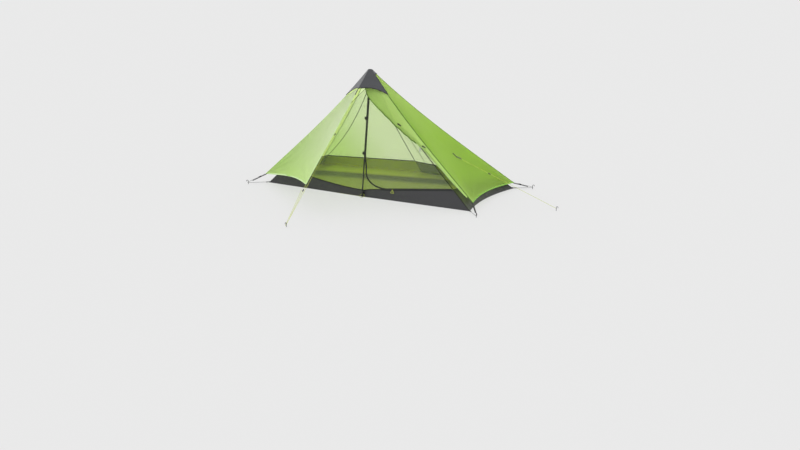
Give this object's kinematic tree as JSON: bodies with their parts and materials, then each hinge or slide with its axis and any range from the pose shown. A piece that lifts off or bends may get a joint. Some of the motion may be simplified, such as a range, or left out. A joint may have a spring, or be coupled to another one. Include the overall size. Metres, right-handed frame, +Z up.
{
  "type": "trekking-pole tent",
  "caption": "Pitched one-person trekking-pole tent with a green fly, mesh inner and dark bathtub floor, left fly door closed and right door tied back.",
  "frame": {"origin": "middle of the groundsheet's underside, on the ground, at the foot of the line from the door's pole towards the rear", "axes": "+X to the right-hand end as seen from the door, along the sleeper; -Y out of the door; +Z up"},
  "size_m": [3.2876, 2.806, 1.2763],
  "materials": {
    "black_plastic": "satin",
    "black_shaft": "satin",
    "black_stake_wire": "satin",
    "dark_grey_fabric": "matte",
    "fly_green": "satin",
    "fly_pale_green": "satin",
    "grip_foam": "matte",
    "inner_mesh": "matte",
    "yellow_cord": "satin"
  },
  "bodies": {
    "tent": {"corner_cord_back_left": "black_plastic", "corner_cord_back_middle": "black_plastic", "corner_cord_back_right": "black_plastic", "corner_cord_front_left": "black_plastic", "corner_cord_front_right": "black_plastic", "door_hem_cord": "yellow_cord", "end_guy_line": "yellow_cord", "end_loop_left": "black_plastic", "end_loop_right": "black_plastic", "fly_back_left": "fly_green", "fly_back_right": "fly_green", "fly_left_end": "fly_green", "fly_right_door": "fly_green", "fly_right_end": "fly_green", "front_guy_line": "yellow_cord", "grip_pocket": "dark_grey_fabric", "groundsheet": "dark_grey_fabric", "inner_peak_hook": "black_plastic", "inner_side_clip": "black_plastic", "mesh_back_left": "inner_mesh", "mesh_back_right": "inner_mesh", "mesh_front_fixed": "inner_mesh", "mesh_left_end": "inner_mesh", "mesh_right_end": "inner_mesh", "peak_cap": "dark_grey_fabric", "pole_foot_loop": "yellow_cord", "pole_grip": "grip_foam", "pole_upper_clamp": "black_plastic", "pole_upper_shaft": "black_shaft", "stake_back_left": "black_stake_wire", "stake_back_middle": "black_stake_wire", "stake_back_right": "black_stake_wire", "stake_end": "black_stake_wire", "stake_front": "black_stake_wire", "stake_front_left": "black_stake_wire", "stake_front_right": "black_stake_wire", "tub_wall_back_left": "dark_grey_fabric", "tub_wall_back_right": "dark_grey_fabric", "tub_wall_front": "dark_grey_fabric", "tub_wall_left": "dark_grey_fabric", "tub_wall_right": "dark_grey_fabric", "zip_track": "black_plastic"},
    "fly_left_door": {"fly_left_door": "fly_pale_green"},
    "mesh_door": {"mesh_door": "inner_mesh"},
    "pole_middle": {"pole_middle_shaft": "black_shaft", "pole_lower_clamp": "black_plastic"},
    "pole_lower": {"pole_lower_shaft": "black_shaft", "pole_tip": "black_plastic"},
    "upper_lever": {"pole_upper_lever": "black_plastic"},
    "lower_lever": {"pole_lower_lever": "black_plastic"},
    "zip_slider": {"zip_slider": "black_plastic"},
    "zip_pull": {"zip_pull": "yellow_cord"},
    "toggle_upper": {"door_toggle_upper": "black_plastic"},
    "toggle_lower": {"door_toggle_lower": "black_plastic"},
    "front_guy_tensioner": {"front_guy_tensioner": "black_plastic"},
    "end_guy_tensioner": {"end_guy_tensioner": "black_plastic"},
    "door_hem_tensioner": {"door_hem_tensioner": "black_plastic"},
    "corner_tensioner_front_left": {"corner_tensioner_front_left": "black_plastic"},
    "corner_tensioner_front_right": {"corner_tensioner_front_right": "black_plastic"},
    "corner_tensioner_back_right": {"corner_tensioner_back_right": "black_plastic"}
  },
  "joints": [
    {"name": "fly_left_door_swing", "type": "hinge", "parent": "tent", "child": "fly_left_door", "pos_m": [-0.6055, -0.426, 0.6885], "axis": [-0.7108, -0.0775, -0.6991], "range_deg": [0, 110]},
    {"name": "mesh_door_swing", "type": "hinge", "parent": "tent", "child": "mesh_door", "pos_m": [0.588, -0.411, 0.565], "axis": [0.7184, -0.0867, -0.6903], "range_deg": [0, 68]},
    {"name": "pole_middle_slide", "type": "slide", "parent": "tent", "child": "pole_middle", "axis": [0, 0.1348, 0.9909], "range_m": [0, 0.29]},
    {"name": "pole_lower_slide", "type": "slide", "parent": "pole_middle", "child": "pole_lower", "axis": [0, 0.1348, 0.9909], "range_m": [0, 0.31]},
    {"name": "upper_lever_swing", "type": "hinge", "parent": "tent", "child": "upper_lever", "pos_m": [0, -0.43903, 0.80095], "axis": [-1, 0, 0], "range_deg": [0, 110]},
    {"name": "lower_lever_swing", "type": "hinge", "parent": "pole_middle", "child": "lower_lever", "pos_m": [0, -0.48521, 0.45401], "axis": [-1, 0, 0], "range_deg": [0, 110]},
    {"name": "zip_slide", "type": "slide", "parent": "tent", "child": "zip_slider", "axis": [0.9932, 0.0383, 0.1097], "range_m": [-0.01, 0.626]},
    {"name": "zip_pull_swing", "type": "hinge", "parent": "zip_slider", "child": "zip_pull", "pos_m": [0.33016, -0.49105, 0.11389], "axis": [-0.9932, -0.0383, -0.1097], "range_deg": [0, 150]},
    {"name": "toggle_upper_turn", "type": "hinge", "parent": "tent", "child": "toggle_upper", "pos_m": [0.37042, -0.43382, 0.75727], "axis": [-0.1084, -0.9941, 0], "range_deg": [0, 90]},
    {"name": "toggle_lower_turn", "type": "hinge", "parent": "tent", "child": "toggle_lower", "pos_m": [0.66304, -0.46499, 0.57251], "axis": [-0.1084, -0.9941, 0], "range_deg": [0, 90]},
    {"name": "front_guy_adjust", "type": "slide", "parent": "tent", "child": "front_guy_tensioner", "axis": [-0.0248, -0.7515, -0.6593], "range_m": [-0.2, 0.3]},
    {"name": "end_guy_adjust", "type": "slide", "parent": "tent", "child": "end_guy_tensioner", "axis": [0.9407, -0.0096, -0.339], "range_m": [-0.2, 0.3]},
    {"name": "door_hem_adjust", "type": "slide", "parent": "tent", "child": "door_hem_tensioner", "axis": [0.0588, -0.7799, -0.6231], "range_m": [-0.02, 0.12]},
    {"name": "corner_adjust_front_left", "type": "slide", "parent": "tent", "child": "corner_tensioner_front_left", "axis": [-0.571, -0.7428, -0.3495], "range_m": [-0.049, 0.101]},
    {"name": "corner_adjust_front_right", "type": "slide", "parent": "tent", "child": "corner_tensioner_front_right", "axis": [0.571, -0.7428, -0.3495], "range_m": [-0.049, 0.101]},
    {"name": "corner_adjust_back_right", "type": "slide", "parent": "tent", "child": "corner_tensioner_back_right", "axis": [0.9056, 0.3715, -0.2048], "range_m": [-0.047, 0.098]}
  ]
}
